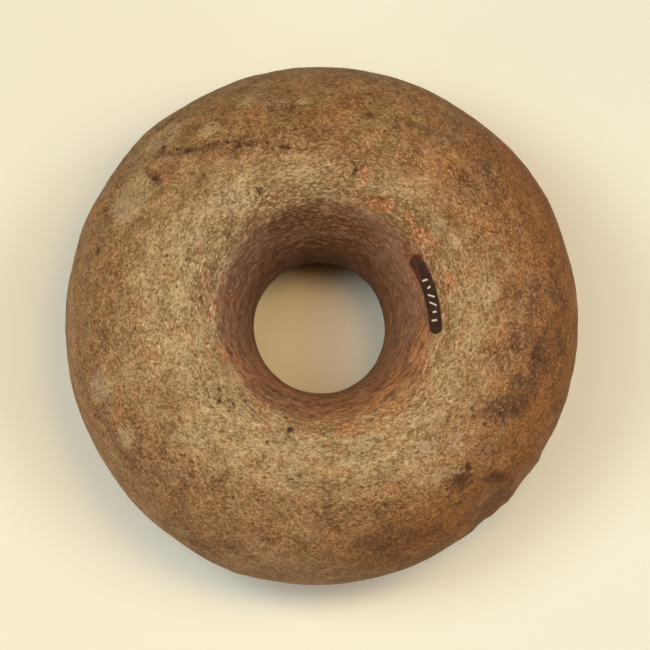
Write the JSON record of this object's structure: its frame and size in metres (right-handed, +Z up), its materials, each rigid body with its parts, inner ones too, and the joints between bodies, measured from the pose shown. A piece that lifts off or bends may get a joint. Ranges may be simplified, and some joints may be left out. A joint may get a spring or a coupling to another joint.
{
  "type": "stone spindle whorl",
  "caption": "Thick, round-sided stone ring with an hourglass bore worked in from both faces, made to weight a spindle. It lies flat on its underside.",
  "frame": {"origin": "on the bore's axis, on the surface that the whorl lies on", "axes": "+Z up along the bore's axis, out of the mouth that shows in the picture; +Y towards the top of the picture; +X to its right"},
  "size_m": [0.0633, 0.0647, 0.0257],
  "materials": {
    "sandstone": "worn, granular, matt, with a faint handling polish in the bore"
  },
  "bodies": {
    "root": {"whorl": "sandstone"}
  },
  "joints": []
}
